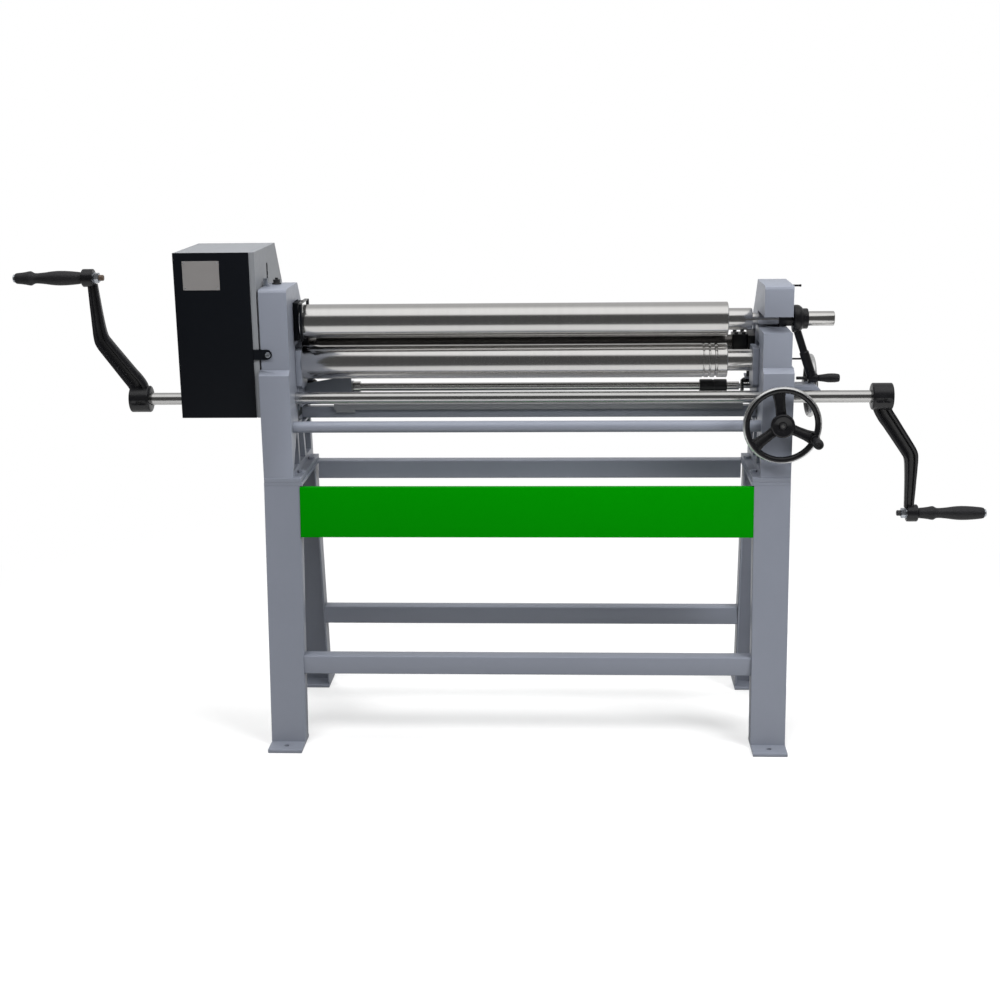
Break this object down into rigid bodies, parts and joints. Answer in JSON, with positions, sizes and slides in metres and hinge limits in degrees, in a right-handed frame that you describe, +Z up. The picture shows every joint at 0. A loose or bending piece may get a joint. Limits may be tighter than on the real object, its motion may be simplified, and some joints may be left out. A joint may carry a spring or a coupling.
{
  "type": "hand-cranked sheet bending rolls",
  "caption": "Hand-cranked slip roll on a steel stand: swing-out upper roll, wedge-lifted lower roll and screw-lifted rear roll bend sheet metal into curves and tubes.",
  "frame": {"origin": "centre of the overall box, crank to crank, at floor level", "axes": "+X along the rolls towards the release lever, +Y away from the operator, +Z up"},
  "size_m": [2.546, 0.584, 1.299],
  "materials": {
    "grey_paint": "satin grey hammered paint",
    "light_grey_paint": "satin light grey paint",
    "green_paint": "satin green paint",
    "black_paint": "satin black paint",
    "bright_steel": "ground steel",
    "dark_steel": "blackened steel",
    "cast_iron": "machined iron",
    "black_plastic": "satin black plastic"
  },
  "bodies": {
    "stand": {"left_front_leg": "grey_paint", "left_rear_leg": "grey_paint", "right_front_leg": "grey_paint", "right_rear_leg": "grey_paint", "left_top_plate": "grey_paint", "right_top_plate": "grey_paint", "front_lower_rail": "grey_paint", "rear_lower_rail": "grey_paint", "rear_upper_rail": "grey_paint", "front_panel": "green_paint", "left_side_frame": "grey_paint", "right_side_frame": "grey_paint", "tie_tube": "grey_paint", "gear_back_plate": "dark_steel", "gear_support_plate": "dark_steel", "idler_stud": "bright_steel", "gear_cover": "light_grey_paint", "gear_cover_front": "black_paint", "cover_lug": "black_paint", "lever_rest_bracket": "grey_paint", "lever_stop_pin": "dark_steel", "pivot_upper_pin": "dark_steel", "cross_rod_arm": "grey_paint"},
    "drive_line": {"drive_shaft": "bright_steel", "left_crank": "black_paint", "right_crank": "black_paint", "drive_pinion": "cast_iron"},
    "left_grip": {"left_crank_grip": "black_plastic"},
    "right_grip": {"right_crank_grip": "black_plastic"},
    "idler": {"idler_gear": "cast_iron"},
    "upper_gears": {"upper_gear_shaft": "bright_steel", "upper_train_gear": "cast_iron", "upper_pair_gear": "cast_iron"},
    "upper_bearing": {"pivot_block": "black_paint"},
    "top_roll": {"upper_roll": "bright_steel"},
    "lever": {"release_lever": "black_paint", "release_lever_grip": "black_plastic"},
    "lower_slide": {"left_lower_bearing_block": "grey_paint", "right_lower_bearing_block": "grey_paint"},
    "bottom_roll": {"lower_roll": "bright_steel", "lower_pair_gear": "cast_iron"},
    "lift_wheel": {"lift_handwheel": "black_paint", "lift_screw": "bright_steel"},
    "lift_wheel_grip": {"lift_handwheel_grip": "black_plastic"},
    "wedges": {"left_lift_wedge": "dark_steel", "right_lift_wedge": "dark_steel", "lift_beam": "grey_paint", "beam_stiffener": "light_grey_paint"},
    "rear_slide": {"left_rear_bearing_block": "black_paint", "right_rear_bearing_block": "black_paint"},
    "back_roll": {"rear_roll": "bright_steel"},
    "right_rod": {"cross_rod_right": "bright_steel", "rear_handwheel": "black_paint"},
    "left_rod": {"cross_rod_left": "bright_steel"},
    "sleeve": {"coupling_sleeve": "dark_steel"},
    "left_screw": {"left_rear_lift_screw": "dark_steel"},
    "right_screw": {"right_rear_lift_screw": "dark_steel"},
    "pivot_lock": {"pivot_lock_screw": "dark_steel"}
  },
  "joints": [
    {"name": "drive_turn", "type": "hinge", "parent": "stand", "child": "drive_line", "pos_m": [0, -0.056, 0.909], "axis": [1, 0, 0], "continuous": true},
    {"name": "left_grip_spin", "type": "hinge", "parent": "drive_line", "child": "left_grip", "pos_m": [-1.2, -0.10179, 1.2348], "axis": [1, 0, 0], "continuous": true},
    {"name": "right_grip_spin", "type": "hinge", "parent": "drive_line", "child": "right_grip", "pos_m": [1.2, -0.01021, 0.5832], "axis": [1, 0, 0], "continuous": true},
    {"name": "idler_spin", "type": "hinge", "parent": "stand", "child": "idler", "pos_m": [-0.712, -0.05452, 0.98699], "axis": [1, 0, 0], "continuous": true},
    {"name": "upper_gear_spin", "type": "hinge", "parent": "stand", "child": "upper_gears", "pos_m": [-0.692, 0, 1.105], "axis": [1, 0, 0], "continuous": true},
    {"name": "upper_roll_swing", "type": "hinge", "parent": "stand", "child": "upper_bearing", "pos_m": [-0.607, 0, 1.105], "axis": [0, 0, 1], "range_deg": [-8, 0]},
    {"name": "upper_roll_spin", "type": "hinge", "parent": "upper_bearing", "child": "top_roll", "pos_m": [-0.607, 0, 1.105], "axis": [1, 0, 0], "continuous": true},
    {"name": "release_lever_turn", "type": "hinge", "parent": "upper_bearing", "child": "lever", "pos_m": [0.748, 0, 1.105], "axis": [1, 0, 0], "range_deg": [-80, 0]},
    {"name": "lower_roll_lift", "type": "slide", "parent": "stand", "child": "lower_slide", "axis": [0, 0, 1], "range_m": [0, 0.017]},
    {"name": "lower_roll_spin", "type": "hinge", "parent": "lower_slide", "child": "bottom_roll", "pos_m": [0.048, 0, 0.997], "axis": [1, 0, 0], "continuous": true},
    {"name": "lift_wheel_turn", "type": "hinge", "parent": "stand", "child": "lift_wheel", "pos_m": [0.703, -0.178, 0.858], "axis": [0, 1, 0], "range_deg": [0, 5400]},
    {"name": "lift_wheel_grip_spin", "type": "hinge", "parent": "lift_wheel", "child": "lift_wheel_grip", "pos_m": [0.78613, -0.2, 0.82099], "axis": [0, 1, 0], "continuous": true},
    {"name": "wedge_slide", "type": "slide", "parent": "stand", "child": "wedges", "axis": [0, -1, 0], "range_m": [0, 0.06]},
    {"name": "rear_roll_lift", "type": "slide", "parent": "stand", "child": "rear_slide", "axis": [0, -0.1994, 0.9799], "range_m": [-0.015, 0.035]},
    {"name": "rear_roll_spin", "type": "hinge", "parent": "rear_slide", "child": "back_roll", "pos_m": [0.048, 0.098, 1.0295], "axis": [1, 0, 0], "continuous": true},
    {"name": "rear_wheel_turn", "type": "hinge", "parent": "stand", "child": "right_rod", "pos_m": [0.814, 0.12312, 0.90603], "axis": [1, 0, 0], "range_deg": [-1350, 3150]},
    {"name": "left_rod_turn", "type": "hinge", "parent": "stand", "child": "left_rod", "pos_m": [0.048, 0.12312, 0.90603], "axis": [1, 0, 0], "range_deg": [-1350, 3150]},
    {"name": "sleeve_slide", "type": "slide", "parent": "left_rod", "child": "sleeve", "axis": [-1, 0, 0], "range_m": [0, 0.04]},
    {"name": "left_screw_turn", "type": "hinge", "parent": "stand", "child": "left_screw", "pos_m": [-0.551, 0.12312, 0.90603], "axis": [0, -0.1994, 0.9799], "range_deg": [-3150, 1350]},
    {"name": "right_screw_turn", "type": "hinge", "parent": "stand", "child": "right_screw", "pos_m": [0.647, 0.12312, 0.90603], "axis": [0, -0.1994, 0.9799], "range_deg": [-1350, 3150]},
    {"name": "pivot_lock_turn", "type": "hinge", "parent": "stand", "child": "pivot_lock", "pos_m": [-0.6275, -0.042, 1.204], "axis": [0, 0, 1], "range_deg": [0, 90]}
  ],
  "couplings": [
    {"joint": "idler_spin", "follows": "drive_turn", "ratio": -0.56},
    {"joint": "upper_gear_spin", "follows": "drive_turn", "ratio": 0.35},
    {"joint": "upper_roll_spin", "follows": "drive_turn", "ratio": 0.35},
    {"joint": "lower_roll_spin", "follows": "drive_turn", "ratio": -0.35},
    {"joint": "wedge_slide", "follows": "lift_wheel_turn", "m_per_rad": 0.0006366},
    {"joint": "lower_roll_lift", "follows": "lift_wheel_turn", "m_per_rad": 0.00018037},
    {"joint": "rear_roll_lift", "follows": "rear_wheel_turn", "m_per_rad": 0.0006366},
    {"joint": "left_rod_turn", "follows": "rear_wheel_turn", "ratio": 1},
    {"joint": "right_screw_turn", "follows": "rear_wheel_turn", "ratio": 1},
    {"joint": "left_screw_turn", "follows": "rear_wheel_turn", "ratio": -1}
  ]
}
